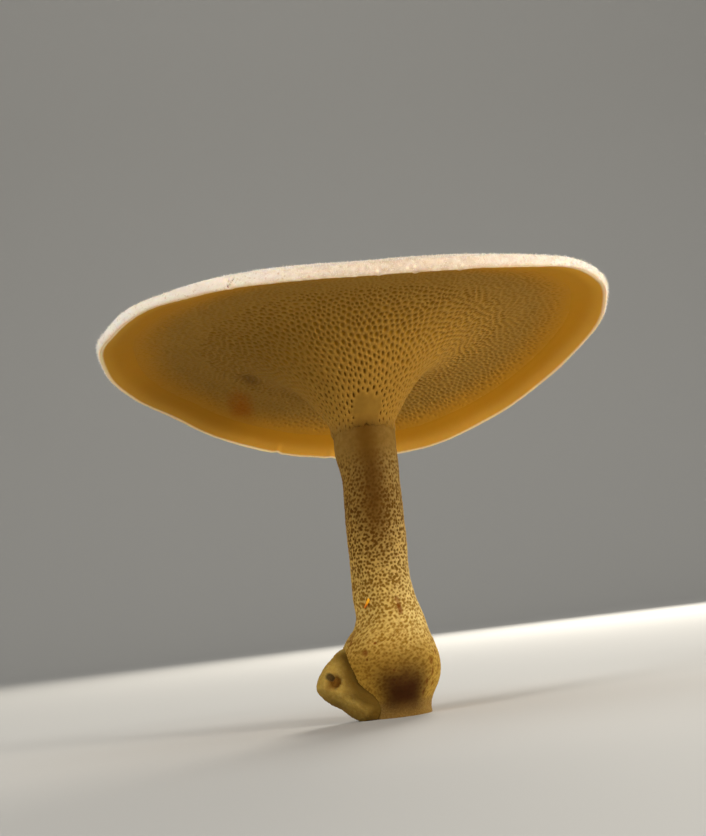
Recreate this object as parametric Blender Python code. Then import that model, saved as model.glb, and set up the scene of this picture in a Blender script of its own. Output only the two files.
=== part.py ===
"""Winter polypore, a small stalked bracket fungus, cut off flat where it grew on wood.

Three grown pieces: the cap with its trumpet-shaped underside, the stem with its swollen foot, and the
pale mycelium pad that clasps the foot's left side. Metres, +Z up, -Y towards the viewer. The origin is
the middle of the stem's cut, which lies in z = 0 with the cut of the pad.
"""
import math

import bmesh
import bpy
import numpy as np
from mathutils import Euler, Matrix, Vector

MM = 0.001
GAP = 0.3 * MM

# Cap: rim radius, where its rim plane's centre is, and how far its near edge is tipped up
CAP_RADIUS = 20.67 * MM
CAP_CENTRE = Vector((0.01, -0.11, 29.04)) * MM
CAP_TILT = math.radians(12.3)

# Cap profile in its own frame, as (radius, height over the rim plane) in mm
NECK_RADIUS = 2.60
UNDERSIDE = [(NECK_RADIUS, -5.60), (3.2, -4.62), (4.0, -3.38), (5.0, -2.12), (6.0, -1.12),
             (7.2, -0.20), (8.6, 0.58), (10.2, 1.18), (12.0, 1.52), (14.0, 1.56), (16.0, 1.34),
             (18.0, 0.90), (20.50, 0.0)]
TOP = [(20.50, 1.05), (19.6, 1.45), (18.5, 1.84), (17.0, 2.32), (15.0, 2.84), (12.5, 3.28),
       (10.0, 3.50), (7.0, 3.46), (4.0, 3.22), (1.6, 3.04), (0.0, 2.98)]
EDGE_THICKNESS = 1.05
EDGE_BULGE = 0.24

# Waves of the rim, as (waves round the rim, cosine part, sine part): shares of the radius, then mm
RADIUS_WAVES = [(2, 0.010, 0.006), (3, 0.013, -0.020), (9, 0.0025, 0.0015), (17, -0.0012, 0.0016)]
HEIGHT_WAVES = [(2, 1.53, -0.17), (3, 0.30, 0.11), (7, 0.05, -0.04)]

# Where the rim runs wider, or its lip or its top side higher, as
# (azimuth in degrees, half width in degrees, wider, lip higher, top higher), all three in mm
RIM_TRIMS = [(10, 14, 0.14, 0.0, 0.0), (100, 25, 0.0, -0.17, 0.0), (151, 9, 0.0, 0.12, 0.0),
             (206, 9, -0.20, -0.05, -0.20), (227, 8, 0.0, 0.27, 0.0), (333, 18, 0.0, 0.34, 0.0)]

# Splits and nicks in the rim, as (azimuth in degrees, half width in degrees, depth at the lip in mm,
# depth on the top side in mm)
NICKS = [(99.3, 0.7, 0.16, 0.16), (113.7, 0.9, 0.34, 0.34), (246.4, 0.5, 0.30, 0.06),
         (276.1, 0.6, 0.18, 0.0), (283.6, 0.6, 0.20, 0.0), (293.1, 0.6, 0.18, 0.0),
         (340.5, 0.8, 0.0, 0.28)]
CAP_COLUMNS = 72
UNDERSIDE_RINGS = 17
EDGE_RINGS = 5
TOP_RINGS = 9
TOP_LUMP = 0.10
UNDERSIDE_LUMP = 0.05

# Stem axis as (height, x, y) in mm, seen from the front it is nearly straight
STEM_AXIS = [(0.0, 0.00, 0.00), (3.3, 0.01, -0.10), (4.5, -0.07, -0.22), (5.2, -0.15, -0.31),
             (5.8, -0.19, -0.38), (6.5, -0.09, -0.48), (7.2, 0.10, -0.59), (7.9, 0.16, -0.70),
             (9.5, 0.03, -0.94), (12.5, -0.08, -1.28), (15.5, 0.0, -1.50), (17.5, 0.05, -1.62),
             (19.8, 0.12, -1.69), (21.4, -0.02, -1.67)]
# Stem radius over height in mm: cut, swollen foot, waist and the flare into the cap
STEM_RADIUS = [(0.0, 2.75), (0.5, 2.74), (0.95, 2.82), (1.5, 3.06), (2.2, 3.46), (3.1, 3.80),
               (4.2, 3.91), (5.2, 3.76), (5.8, 3.58), (6.5, 3.25), (7.2, 2.90), (7.9, 2.69),
               (9.0, 2.55), (10.5, 2.44), (14.0, 2.43), (15.5, 2.42), (17.5, 2.34), (19.2, 2.32), (20.4, 2.40),
               (21.6, 2.47), (23.2, NECK_RADIUS)]
# Height in mm from which the stem's level rings tip over to the cap's tilt
STEM_TIPS_FROM = 14.0
STEM_COLUMNS = 40
STEM_RINGS = 34
FOOT_DEPTH_STRETCH = 1.22
STEM_LUMP = 0.022

# Mycelium pad: a rounded lump about its centre, with swellings and dents as
# (direction, height in mm, sharpness)
PAD_CENTRE = Vector((-3.05, -1.30, 2.85)) * MM
PAD_RADII = (2.62, 1.80, 2.62)
PAD_LUMPS = [((-1.0, -0.1, 0.03), 0.52, 12.0), ((-0.25, 0.1, 1.0), 0.44, 9.0),
             ((0.38, -0.62, -1.0), 1.00, 6.0), ((-0.60, -0.2, -0.80), -0.36, 9.0),
             ((-0.75, -0.65, 0.10), 0.30, 6.0), ((0.2, -0.8, 0.8), -0.25, 5.0),
             ((0.35, -0.9, 0.15), -0.35, 8.0), ((-0.80, -0.25, 0.52), 0.18, 18.0)]
PAD_PIT_DIRECTION = (-0.72, -0.67, 0.21)
PAD_PIT_DEPTH = 0.38
PAD_PIT_SHARPNESS = 34.0
PAD_COLUMNS = 36
PAD_RINGS = 18

# Principled colours (linear), roughness
FINISHES = {
    "cap": ((0.36, 0.23, 0.10), 0.75),
    "stem": ((0.27, 0.17, 0.07), 0.85),
    "mycelium_pad": ((0.62, 0.50, 0.31), 0.80),
}


def clear_scene():
    for item in list(bpy.data.objects):
        bpy.data.objects.remove(item, do_unlink=True)


def curve_through(knots, at):
    """Cubic Hermite curve through (position, value, ...) knots, read at an array of positions."""
    knots = np.array(knots, dtype=float)
    order = np.argsort(knots[:, 0])
    place, value = knots[order, 0], knots[order, 1:]
    slope = np.gradient(value, place, axis=0)
    at = np.asarray(at, dtype=float)
    left = np.clip(np.searchsorted(place, at, side="right") - 1, 0, len(place) - 2)
    span = (place[left + 1] - place[left])[:, None]
    t = ((at - place[left]) / span[:, 0])[:, None]
    start = (1 + 2 * t) * (1 - t) ** 2 * value[left] + t * (1 - t) ** 2 * span * slope[left]
    end = t ** 2 * (3 - 2 * t) * value[left + 1] + t ** 2 * (t - 1) * span * slope[left + 1]
    return start + end


def waves(table, azimuth):
    """Sum of cosine and sine waves round the rim."""
    return sum(c * np.cos(n * azimuth) + s * np.sin(n * azimuth) for n, c, s in table)


def loft(name, rings, tip=None):
    """A closed body through rings of points: a flat first end, and a flat or pointed last end."""
    mesh = bmesh.new()
    loops = [[mesh.verts.new(point) for point in ring] for ring in rings]
    count = len(loops[0])
    for low, high in zip(loops, loops[1:]):
        for i in range(count):
            j = (i + 1) % count
            mesh.faces.new((low[i], low[j], high[j], high[i]))
    mesh.faces.new(list(reversed(loops[0])))
    if tip is None:
        mesh.faces.new(loops[-1])
    else:
        peak = mesh.verts.new(tip)
        for i in range(count):
            mesh.faces.new((loops[-1][i], loops[-1][(i + 1) % count], peak))
    bmesh.ops.recalc_face_normals(mesh, faces=mesh.faces)
    bmesh.ops.triangulate(mesh, faces=mesh.faces)
    data = bpy.data.meshes.new(name)
    mesh.to_mesh(data)
    mesh.free()
    data.shade_smooth()
    data.set_sharp_from_angle(angle=math.radians(50))
    body = bpy.data.objects.new(name, data)
    bpy.context.scene.collection.objects.link(body)
    return body


def finish(body):
    """Gives a body its own Principled material."""
    colour, roughness = FINISHES[body.name]
    material = bpy.data.materials.new(body.name)
    material.use_nodes = True
    shader = material.node_tree.nodes["Principled BSDF"]
    shader.inputs["Base Color"].default_value = (*colour, 1.0)
    shader.inputs["Roughness"].default_value = roughness
    shader.inputs["Metallic"].default_value = 0.0
    body.data.materials.append(material)


def cap_matrix():
    """The cap's frame: rim plane at z = 0, tipped back so that the near edge is up."""
    return Matrix.Translation(CAP_CENTRE) @ Euler((-CAP_TILT, 0, 0)).to_matrix().to_4x4()


def cap_azimuths():
    """Even columns round the cap, and three more at each nick."""
    even = np.radians(np.arange(CAP_COLUMNS) * 360 / CAP_COLUMNS)
    extra = [math.radians(place + side * half) for place, half, *_ in NICKS for side in (-1, 0, 1)]
    clear = [a for a in even if min(abs(a - b) for b in extra) > math.radians(0.8)]
    return np.sort(np.array(clear + extra))


def cap_profile():
    """Stations from the neck, out under the cap, round the edge and back to the top's middle.

    Each is (radius, height, lump height) in mm, and how far round the edge it is: 0 below, 1 on top."""
    out = NECK_RADIUS + (UNDERSIDE[-1][0] - NECK_RADIUS) * np.linspace(0, 1, UNDERSIDE_RINGS) ** 1.35
    under_height = curve_through(UNDERSIDE, out)[:, 0]
    under = np.column_stack([out, under_height, np.full(len(out), UNDERSIDE_LUMP), 0 * out])
    turn = np.linspace(0, math.pi, EDGE_RINGS + 2)[1:-1]
    half = EDGE_THICKNESS / 2
    edge_radius = out[-1] + EDGE_BULGE * np.sin(turn)
    edge = np.column_stack([edge_radius, half - half * np.cos(turn), 0 * turn, turn / math.pi])
    back = TOP[0][0] * (1 - np.linspace(0, 1, TOP_RINGS + 1)[:-1] ** 1.2)
    top_height = curve_through(TOP, back)[:, 0]
    top = np.column_stack([back, top_height, np.full(len(back), TOP_LUMP), 1 + 0 * back])
    return np.vstack([under, edge, top])


def rim_changes(table, azimuth):
    """Sums of a table's amounts in mm at each azimuth: each is full at its place and fades to both sides."""
    total = np.zeros((len(table[0]) - 2, len(azimuth)))
    for place, half, *amounts in table:
        away = (np.degrees(azimuth) - place + 180) % 360 - 180
        total += np.outer(amounts, np.exp(-(away / half) ** 2))
    return total


def make_cap():
    """Rings of the turned profile, bent by the rim's waves and cut in by its nicks."""
    azimuth = cap_azimuths()
    stretch = waves(RADIUS_WAVES, azimuth)
    lift = waves(HEIGHT_WAVES, azimuth)
    wider, lip_lift, top_lift = rim_changes(RIM_TRIMS, azimuth)
    lip_nick, top_nick = rim_changes(NICKS, azimuth)
    rim = CAP_RADIUS / MM
    rings = []
    for radius, height, lump, upper in cap_profile():
        share = radius / rim
        near_rim = np.clip((share - 0.93) / 0.05, 0, 1)
        trimmed = np.clip((share - 0.80) / 0.19, 0, 1) ** 2
        nick = near_rim * ((1 - upper) * lip_nick + upper * top_nick)
        reach = radius * (1 + share * stretch) - nick + wider * trimmed
        x, y = reach * np.cos(azimuth), reach * np.sin(azimuth)
        swell = lump * np.sin(0.55 * x + 1.1) * np.sin(0.48 * y - 0.6) * share
        trim = trimmed * ((1 - upper) * lip_lift + upper * top_lift)
        z = height + share ** 2 * lift + swell + trim
        rings.append([Vector(point) * MM for point in zip(x, y, z)])
    crown = Vector((0, 0, TOP[-1][1])) * MM
    cap = loft("cap", rings, tip=crown)
    cap.matrix_world = cap_matrix()
    return cap


def stem_path(heights):
    """Points of the stem's axis in mm, ending just under the cap's neck and in line with the cap."""
    frame = cap_matrix()
    end = frame @ Vector((0, 0, UNDERSIDE[0][1] * MM - GAP)) / MM
    knots = STEM_AXIS + [(end.z, end.x, end.y)]
    sideways = curve_through(knots, heights * end.z)
    return np.column_stack([sideways, heights * end.z])


def make_stem(name="stem", clearance=0.0):
    """Rings round the stem's axis, level but for the top, which tips over to the cap's tilt.

    A clearance in mm makes the body that keeps a neighbour clear."""
    heights = np.linspace(0, 1, STEM_RINGS) ** 1.15
    axis = stem_path(heights)
    radius = curve_through(STEM_RADIUS, heights * STEM_RADIUS[-1][0])[:, 0] + clearance
    risen = np.clip((axis[:, 2] - STEM_TIPS_FROM) / (axis[-1, 2] - STEM_TIPS_FROM), 0, 1)
    tips = CAP_TILT * risen ** 2 * (3 - 2 * risen)
    turn = np.arange(STEM_COLUMNS) * 2 * math.pi / STEM_COLUMNS
    rings = []
    for centre, reach, tip in zip(axis, radius, tips):
        side = np.array((1.0, 0.0, 0.0))
        front = np.array((0.0, math.cos(tip), -math.sin(tip)))
        high = centre[2]
        fade = min(1, 0.25 * high) * min(1, 0.6 * max(0, axis[-1, 2] - high))
        swells = np.sin(2 * turn + 0.35 * high) + 0.7 * np.sin(3 * turn - 0.8 * high + 1)
        lump = STEM_LUMP * fade * (swells + 0.5 * np.sin(5 * turn + 1.1 * high))
        deep = 1 + (FOOT_DEPTH_STRETCH - 1) * math.exp(-(high / 3.5) ** 2)
        reach = reach * (1 + lump)
        wide_part = (reach * np.cos(turn))[:, None] * side
        ring = centre + wide_part + (reach * deep * np.sin(turn))[:, None] * front
        rings.append([Vector(point) * MM for point in ring])
    if clearance:
        rings[0] = [point - Vector((0, 0, 1)) * MM for point in rings[0]]
    return loft(name, rings)


def pad_reach(direction):
    """Distance in mm from the pad's centre to its skin, along unit directions (n, 3)."""
    reach = 1 / np.linalg.norm(direction / np.array(PAD_RADII), axis=1)
    for aim, height, sharpness in PAD_LUMPS:
        aim = np.array(aim) / np.linalg.norm(aim)
        reach += height * np.exp(sharpness * (direction @ aim - 1))
    aim = np.array(PAD_PIT_DIRECTION) / np.linalg.norm(PAD_PIT_DIRECTION)
    return reach - PAD_PIT_DEPTH * np.exp(PAD_PIT_SHARPNESS * (direction @ aim - 1))


def make_pad(stem_clearance):
    """The pad's lump, cut flat at z = 0 and hollowed where it clasps the stem's foot."""
    mesh = bmesh.new()
    bmesh.ops.create_uvsphere(mesh, u_segments=PAD_COLUMNS, v_segments=PAD_RINGS, radius=1)
    direction = np.array([vert.co.normalized() for vert in mesh.verts])
    for vert, reach in zip(mesh.verts, pad_reach(direction)):
        vert.co = PAD_CENTRE + vert.co.normalized() * float(reach) * MM
    everything = mesh.verts[:] + mesh.edges[:] + mesh.faces[:]
    cut = bmesh.ops.bisect_plane(mesh, geom=everything, plane_co=(0, 0, 0), plane_no=(0, 0, 1),
                                 clear_inner=True)
    border = [item for item in cut["geom_cut"] if isinstance(item, bmesh.types.BMEdge)]
    bmesh.ops.edgeloop_fill(mesh, edges=border)
    bmesh.ops.recalc_face_normals(mesh, faces=mesh.faces)
    data = bpy.data.meshes.new("mycelium_pad")
    mesh.to_mesh(data)
    mesh.free()
    data.shade_smooth()
    data.set_sharp_from_angle(angle=math.radians(50))
    pad = bpy.data.objects.new("mycelium_pad", data)
    bpy.context.scene.collection.objects.link(pad)
    clasp = pad.modifiers.new("clasp", "BOOLEAN")
    clasp.operation = "DIFFERENCE"
    clasp.object = stem_clearance
    return pad


def main():
    clear_scene()
    clearance = make_stem("stem_clearance", GAP / MM)
    clearance.hide_render = True
    clearance.display_type = "WIRE"
    for body in (make_cap(), make_stem(), make_pad(clearance)):
        finish(body)


main()
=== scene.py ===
"""Looks of the winter polypore: cap, pores, stem and mycelium pad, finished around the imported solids.

Shapes are worked out in millimetres in the part's frame, as whole arrays, and stored in metres.
"""
import math

import bpy
import numpy as np
from mathutils import Matrix, Vector
from mathutils.geometry import delaunay_2d_cdt


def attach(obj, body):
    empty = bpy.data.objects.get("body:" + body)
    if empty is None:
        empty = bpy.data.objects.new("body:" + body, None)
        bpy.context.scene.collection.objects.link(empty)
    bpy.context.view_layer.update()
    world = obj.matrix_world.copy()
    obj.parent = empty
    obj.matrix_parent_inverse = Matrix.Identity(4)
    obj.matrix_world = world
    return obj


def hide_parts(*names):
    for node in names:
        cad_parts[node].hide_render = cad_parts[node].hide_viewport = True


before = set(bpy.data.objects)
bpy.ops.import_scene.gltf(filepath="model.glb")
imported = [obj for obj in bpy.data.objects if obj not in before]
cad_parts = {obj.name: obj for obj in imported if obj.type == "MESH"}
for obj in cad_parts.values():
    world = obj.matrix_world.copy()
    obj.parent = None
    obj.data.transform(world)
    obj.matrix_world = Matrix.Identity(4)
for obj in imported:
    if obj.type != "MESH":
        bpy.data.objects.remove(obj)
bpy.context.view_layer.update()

MM = 0.001
IMAGE_WIDTH, IMAGE_HEIGHT = 706, 836
dice = np.random.default_rng(11)

# Shape of the part, in mm, as its solids have it
CAP_RADIUS = 20.67
CAP_CENTRE = np.array((0.01, -0.11, 29.04))
CAP_TILT = math.radians(12.3)
NECK_RADIUS = 2.60
LIP_RADIUS = 20.50
UNDERSIDE = [(NECK_RADIUS, -5.60), (3.2, -4.62), (4.0, -3.38), (5.0, -2.12), (6.0, -1.12), (7.2, -0.20),
             (8.6, 0.58), (10.2, 1.18), (12.0, 1.52), (14.0, 1.56), (16.0, 1.34), (18.0, 0.90), (LIP_RADIUS, 0.0)]
TOP = [(LIP_RADIUS, 1.05), (19.6, 1.45), (18.5, 1.84), (17.0, 2.32), (15.0, 2.84), (12.5, 3.28), (10.0, 3.50),
       (7.0, 3.46), (4.0, 3.22), (1.6, 3.04), (0.0, 2.98)]
EDGE_THICKNESS = 1.05
EDGE_BULGE = 0.24
RADIUS_WAVES = [(2, 0.010, 0.006), (3, 0.013, -0.020), (9, 0.0025, 0.0015), (17, -0.0012, 0.0016)]
HEIGHT_WAVES = [(2, 1.53, -0.17), (3, 0.30, 0.11), (7, 0.05, -0.04)]
RIM_TRIMS = [(10, 14, 0.14, 0.0, 0.0), (100, 25, 0.0, -0.17, 0.0), (151, 9, 0.0, 0.12, 0.0),
             (206, 9, -0.20, -0.05, -0.20), (227, 8, 0.0, 0.27, 0.0), (333, 18, 0.0, 0.34, 0.0)]
NICKS = [(99.3, 0.7, 0.16, 0.16), (113.7, 0.9, 0.34, 0.34), (246.1, 0.5, 0.12, 0.04), (276.8, 0.5, 0.18, 0.0),
         (284.5, 0.6, 0.20, 0.0), (294.7, 0.8, 0.16, 0.0), (340.5, 0.8, 0.0, 0.28)]
STEM_AXIS = [(0.0, 0.00, 0.00), (3.3, 0.01, -0.10), (4.5, -0.07, -0.22), (5.2, -0.15, -0.31),
             (5.8, -0.19, -0.38), (6.5, -0.09, -0.48), (7.2, 0.10, -0.59), (7.9, 0.16, -0.70),
             (9.5, 0.03, -0.94), (12.5, -0.08, -1.28), (15.5, 0.0, -1.50), (17.5, 0.05, -1.62),
             (19.8, 0.12, -1.69), (21.4, -0.02, -1.67)]
STEM_TIPS_FROM = 14.0
STEM_RADIUS = [(0.0, 2.75), (0.5, 2.74), (0.95, 2.82), (1.5, 3.06), (2.2, 3.46), (3.1, 3.80), (4.2, 3.91),
               (5.2, 3.76), (5.8, 3.58), (6.5, 3.25), (7.2, 2.90), (7.9, 2.69), (9.0, 2.55), (10.5, 2.44), (14.0, 2.43),
               (15.5, 2.42), (17.5, 2.34), (19.2, 2.32), (20.4, 2.40), (21.6, 2.47), (23.2, NECK_RADIUS)]
FOOT_DEPTH_STRETCH = 1.22
STEM_LUMP = 0.022
PAD_CENTRE = np.array((-3.05, -1.30, 2.85))
PAD_RADII = np.array((2.62, 1.80, 2.62))
PAD_LUMPS = [((-1.0, -0.1, 0.03), 0.52, 12.0), ((-0.25, 0.1, 1.0), 0.44, 9.0),
             ((0.38, -0.62, -1.0), 1.00, 6.0), ((-0.60, -0.2, -0.80), -0.36, 9.0),
             ((-0.75, -0.65, 0.10), 0.30, 6.0), ((0.2, -0.8, 0.8), -0.25, 5.0),
             ((0.35, -0.9, 0.15), -0.35, 8.0), ((-0.80, -0.25, 0.52), 0.18, 18.0)]
PIT_DIRECTION = (-0.72, -0.67, 0.21)
PIT_SPOT_DIRECTION = (-0.79, -0.50, 0.35)

# Pores: how far down the stem and out to the rim they run, and their spacing, depth and mouth
# (as a share of the spacing) over the radius, all in mm
PORE_FOOT = [(-7.20, 2.37), (-6.90, 2.45), (-6.60, 2.52), (-6.10, 2.58), (-5.60, 2.60)]
PORES_TO = 18.0
PORE_FIELD_EDGE = 18.35
PORE_SPACING = [(2.0, 0.38), (3.2, 0.40), (5.0, 0.455), (8.0, 0.475), (11.0, 0.455), (14.0, 0.45), (19.0, 0.45)]
PORE_STRETCH = [(2.0, 1.55), (4.0, 1.50), (8.0, 1.45), (11.0, 1.35), (15.0, 1.30), (19.0, 1.25)]
PORE_DEPTH = [(2.3, 0.10), (2.8, 0.14), (4.0, 0.17), (6.0, 0.19), (10.0, 0.20), (14.0, 0.20), (19.0, 0.18)]
PORE_MOUTH = [(2.0, 0.40), (3.0, 0.46), (4.5, 0.55), (6.0, 0.60), (12.0, 0.64), (19.0, 0.62)]
PORE_NARROWING = [(2.0, 0.70), (3.5, 0.76), (7.0, 0.94), (10.0, 1.0)]
FINE_PORES_TO = 12.5
SMOOTH_PATCH = (279.0, 21.5, 3.55)

# Marks on the cap: the crack's line over the edge, as (height in mm, azimuth in degrees), bright nodules on
# the lip, and two stains in the pores, as (radius, azimuth, half widths across and along the view)
CRACK_LINE = [(-0.4, 246.0), (0.0, 246.0), (0.22, 245.9), (0.60, 247.1), (0.80, 247.5), (1.2, 247.5), (4.0, 247.5)]
LIP_NODULES = [(276.3, 0.30), (282.6, 0.30), (284.2, 0.42), (294.8, 0.30)]
SMUDGE = (10.8, 149.0, 1.25, 2.3)
ORANGE_SPOT = (15.6, 133.0, 1.30, 2.9)

# Marks on the stem, as (height, azimuth, half height, half width, strength)
STEM_MARKS = [(8.48, 292, 0.56, 0.24, 1.0), (9.2, 291, 0.30, 0.2, 0.8), (5.99, 253, 0.13, 0.15, 1.3),
              (3.74, 271, 0.13, 0.14, 1.3), (4.19, 205, 0.14, 0.14, 1.0), (6.19, 211, 0.22, 0.20, 0.9),
              (5.30, 240, 0.26, 0.28, 0.9), (4.75, 241, 0.10, 0.10, 1.0), (4.05, 321, 0.34, 0.26, 0.9),
              (6.6, 203, 0.60, 0.55, 0.55), (5.9, 301, 0.10, 0.09, 0.9), (6.4, 278, 0.09, 0.09, 0.7),
              (3.0, 268, 0.12, 0.12, 0.8), (12.7, 310, 0.12, 0.12, 0.9), (11.6, 246, 0.1, 0.1, 0.8),
              (3.25, 323, 0.40, 0.17, 1.0), (2.55, 315, 0.38, 0.17, 1.0), (1.75, 313, 0.34, 0.18, 1.0),
              (3.50, 335, 0.34, 0.15, 0.9), (4.75, 336, 0.18, 0.15, 1.0), (2.30, 327, 0.34, 0.15, 0.9)]


def curve_through(knots, at):
    """Cubic Hermite curve through (position, value) knots, read at an array of positions."""
    place, value = np.array(sorted(knots), dtype=float).T
    slope = np.gradient(value, place)
    at = np.clip(np.asarray(at, dtype=float), place[0], place[-1])
    left = np.clip(np.searchsorted(place, at, side="right") - 1, 0, len(place) - 2)
    span = place[left + 1] - place[left]
    t = (at - place[left]) / span
    start = (1 + 2 * t) * (1 - t) ** 2 * value[left] + t * (1 - t) ** 2 * span * slope[left]
    return start + t ** 2 * (3 - 2 * t) * value[left + 1] + t ** 2 * (t - 1) * span * slope[left + 1]


def step(low, high, value):
    """0 below low, 1 above high, and 3t^2 - 2t^3 between."""
    t = np.clip((value - low) / (high - low), 0, 1)
    return t * t * (3 - 2 * t)


def waves(table, azimuth):
    """Sum of cosine and sine waves round the rim."""
    return sum(c * np.cos(n * azimuth) + s * np.sin(n * azimuth) for n, c, s in table)


def angle_between(azimuth, place):
    """Signed angle in degrees from a place in degrees to azimuths in radians."""
    return (np.degrees(azimuth) - place + 180) % 360 - 180


# Noise over points in space
def scatter(i, j, k, seed):
    """A fixed random-looking number from 0 to 1 for each corner (i, j, k) of a lattice."""
    n = (i * 73856093 ^ j * 19349663 ^ k * 83492791 ^ seed * 49979687) & 0xFFFFFFFF
    n = ((n ^ (n >> 15)) * 2246822519) & 0xFFFFFFFF
    n = ((n ^ (n >> 13)) * 3266489917) & 0xFFFFFFFF
    return ((n ^ (n >> 16)) & 0xFFFFFF) / 0xFFFFFF


def noise(points, size, seed=0):
    """Smooth noise from -1 to 1: numbers on a lattice of that size, blended in each cell by 3t^2 - 2t^3."""
    place = points / np.asarray(size, dtype=float)
    corner = np.floor(place).astype(np.int64)
    t = place - corner
    t = t * t * (3 - 2 * t)
    total = np.zeros(points.shape[:-1])
    for corner_bits in range(8):
        bit = np.array([corner_bits & 1, corner_bits >> 1 & 1, corner_bits >> 2 & 1])
        weight = np.prod(np.where(bit == 1, t, 1 - t), axis=-1)
        i, j, k = np.moveaxis(corner + bit, -1, 0)
        total += weight * scatter(i, j, k, seed)
    return 2 * total - 1


def rough(points, size, seed=0, octaves=3):
    """Layers of noise, each half the size and 0.55 of the height of the one before."""
    parts = [0.55 ** n * noise(points + 17.3 * n, np.asarray(size) / 2 ** n, seed + n) for n in range(octaves)]
    return sum(parts) / 1.4


def pebbles(points, size, seed=0):
    """Distances, in cells, to the nearest and second nearest of one jittered point per lattice cell."""
    place = points / np.asarray(size, dtype=float)
    cell = np.floor(place).astype(np.int64)
    nearest = np.full(points.shape[:-1], 9.0)
    second = nearest.copy()
    for step_index in range(27):
        near = cell + np.array([step_index % 3, step_index // 3 % 3, step_index // 9]) - 1
        i, j, k = np.moveaxis(near, -1, 0)
        spot = near + np.stack([scatter(i, j, k, seed + s) for s in (1, 2, 3)], axis=-1)
        away = np.linalg.norm(spot - place, axis=-1)
        second = np.minimum(second, np.maximum(nearest, away))
        nearest = np.minimum(nearest, away)
    return nearest, second


# Meshes from arrays
def mesh_piece(name, points, faces, masks, material, stands_for=None):
    """A closed piece from points (n, 3) in mm and arrays of faces, turned so that they face outwards."""
    fans = [np.column_stack([f[:, 0], f[:, k], f[:, k + 1]]) for f in faces for k in range(1, f.shape[1] - 1)]
    corners = points[np.vstack(fans)]
    volume = np.einsum("ij,ij->", corners[:, 0], np.cross(corners[:, 1], corners[:, 2]))
    if volume < 0:
        faces = [f[:, ::-1] for f in faces]
    mesh = bpy.data.meshes.new(name)
    mesh.from_pydata((points * MM).tolist(), [], [face for f in faces for face in f.tolist()])
    mesh.shade_smooth()
    for mask_name, values in masks.items():
        mask = mesh.attributes.new(mask_name, "FLOAT", "POINT")
        mask.data.foreach_set("value", np.ascontiguousarray(values, dtype=np.float32).ravel())
    mesh.materials.append(material)
    piece = bpy.data.objects.new(name, mesh)
    bpy.context.scene.collection.objects.link(piece)
    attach(piece, "root")
    if stands_for:
        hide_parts(stands_for)
    return piece


def ring_faces(rows, columns):
    """Quads between closed rings of points, and one fan to a point past each end.

    Point r * columns + c is column c of ring r, and the two end points come after all rings."""
    here = np.arange(columns)
    after = (here + 1) % columns
    start = (np.arange(rows - 1) * columns)[:, None]
    quads = np.stack([start + here, start + after, start + columns + after, start + columns + here], axis=-1)
    first, last = rows * columns, rows * columns + 1
    far = (rows - 1) * columns
    near_fan = np.column_stack([after, here, np.full(columns, first)])
    far_fan = np.column_stack([far + here, far + after, np.full(columns, last)])
    return [quads.reshape(-1, 4), near_fan, far_fan]


def ring_normals(grid):
    """Unit normals of a grid of closed rings, from the differences between neighbours."""
    along = np.gradient(grid, axis=0)
    around = np.roll(grid, -1, axis=1) - np.roll(grid, 1, axis=1)
    normal = np.cross(around, along)
    return normal / np.maximum(np.linalg.norm(normal, axis=-1, keepdims=True), 1e-12)


def ring_piece(name, grid, masks, material, stands_for=None):
    """A piece from a grid of closed rings (rows, columns, 3), closed at both ends."""
    ends = np.stack([grid[0].mean(axis=0), grid[-1].mean(axis=0)])
    points = np.vstack([grid.reshape(-1, 3), ends])
    filled = {key: np.append(value.ravel(), (value[0].mean(), value[-1].mean())) for key, value in masks.items()}
    return mesh_piece(name, points, ring_faces(*grid.shape[:2]), filled, material, stands_for)


# Cap
def cap_swell(x, y):
    """Low swells of the cap's top and underside, as a product of two sine waves."""
    return np.sin(0.55 * x + 1.1) * np.sin(0.48 * y - 0.6)


def cap_place(x, y, z):
    """Tips points of the cap's own frame back and sets them on the cap's centre."""
    lean, rise = math.sin(CAP_TILT), math.cos(CAP_TILT)
    return np.stack([x, y * rise + z * lean, -y * lean + z * rise], axis=-1) + CAP_CENTRE


def cap_point(radius, height, azimuth, swell=0.0, upper=0.0):
    """Point of the cap. With s the radius as a share of the rim's, radius r goes to r (1 + s waves) less the
    nicks, height z to z + s^2 waves + swell, and the last fifth of the way out gets the rim's trims: the
    lip's below, the top side's above, and between them round the edge as upper goes from 0 to 1."""
    share = radius / CAP_RADIUS
    nick = 0
    for place, half, at_lip, on_top in NICKS:
        nick = nick + ((1 - upper) * at_lip + upper * on_top) * np.exp(-(angle_between(azimuth, place) / half) ** 2)
    trimmed = np.clip((share - 0.80) / 0.19, 0, 1) ** 2
    wider = lift = 0
    for place, half, wide, lip_lift, top_lift in RIM_TRIMS:
        near = trimmed * np.exp(-(angle_between(azimuth, place) / half) ** 2)
        wider = wider + near * wide
        lift = lift + near * ((1 - upper) * lip_lift + upper * top_lift)
    reach = radius * (1 + share * waves(RADIUS_WAVES, azimuth)) - nick * np.clip((share - 0.93) / 0.05, 0, 1)
    x, y = (reach + wider) * np.cos(azimuth), (reach + wider) * np.sin(azimuth)
    z = height + share ** 2 * waves(HEIGHT_WAVES, azimuth) + swell * cap_swell(x, y) * share
    return cap_place(x, y, z + lift)


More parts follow.
